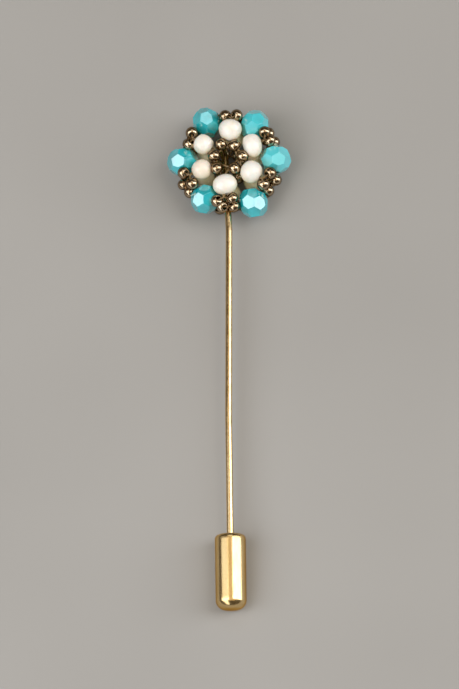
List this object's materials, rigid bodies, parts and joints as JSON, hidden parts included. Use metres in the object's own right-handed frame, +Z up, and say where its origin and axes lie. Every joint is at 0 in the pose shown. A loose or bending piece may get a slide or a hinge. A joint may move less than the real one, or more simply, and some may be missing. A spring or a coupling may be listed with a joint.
{
  "type": "beaded flower stick pin with clutch",
  "caption": "Stick pin with a flat flower of turquoise faceted beads and small pearls for a head, and a bullet-shaped clutch pushed on over its point.",
  "frame": {"origin": "on the surface that the pin lies on, under the middle of its bounding box", "axes": "+Y from the clutch towards the flower, +Z up through the flower's face, +X to the right seen from above with the flower at the top"},
  "size_m": [0.017, 0.07, 0.007],
  "materials": {
    "turquoise_glass": "opaque pressed glass, fire-polished facets with a light lustre",
    "pearl": "freshwater pearl, satin nacre",
    "thread": "dark brown beading thread",
    "pin_wire": "gold-coloured wire, slightly hammered",
    "gold_plate": "polished gold plate"
  },
  "bodies": {
    "brooch": {"turquoise_1": "turquoise_glass", "turquoise_2": "turquoise_glass", "turquoise_3": "turquoise_glass", "turquoise_4": "turquoise_glass", "turquoise_5": "turquoise_glass", "turquoise_6": "turquoise_glass", "pearl_front_1": "pearl", "pearl_front_2": "pearl", "pearl_front_3": "pearl", "pearl_front_4": "pearl", "pearl_front_5": "pearl", "pearl_front_6": "pearl", "pearl_back_1": "pearl", "pearl_back_2": "pearl", "pearl_back_3": "pearl", "pearl_back_4": "pearl", "pearl_back_5": "pearl", "pearl_back_6": "pearl", "thread": "thread", "pin": "pin_wire"},
    "clutch": {"clutch": "gold_plate"}
  },
  "joints": [
    {"name": "clutch_pull", "type": "slide", "parent": "brooch", "child": "clutch", "axis": [0.0157, -0.9996, -0.0236], "range_m": [0, 0.025]}
  ]
}
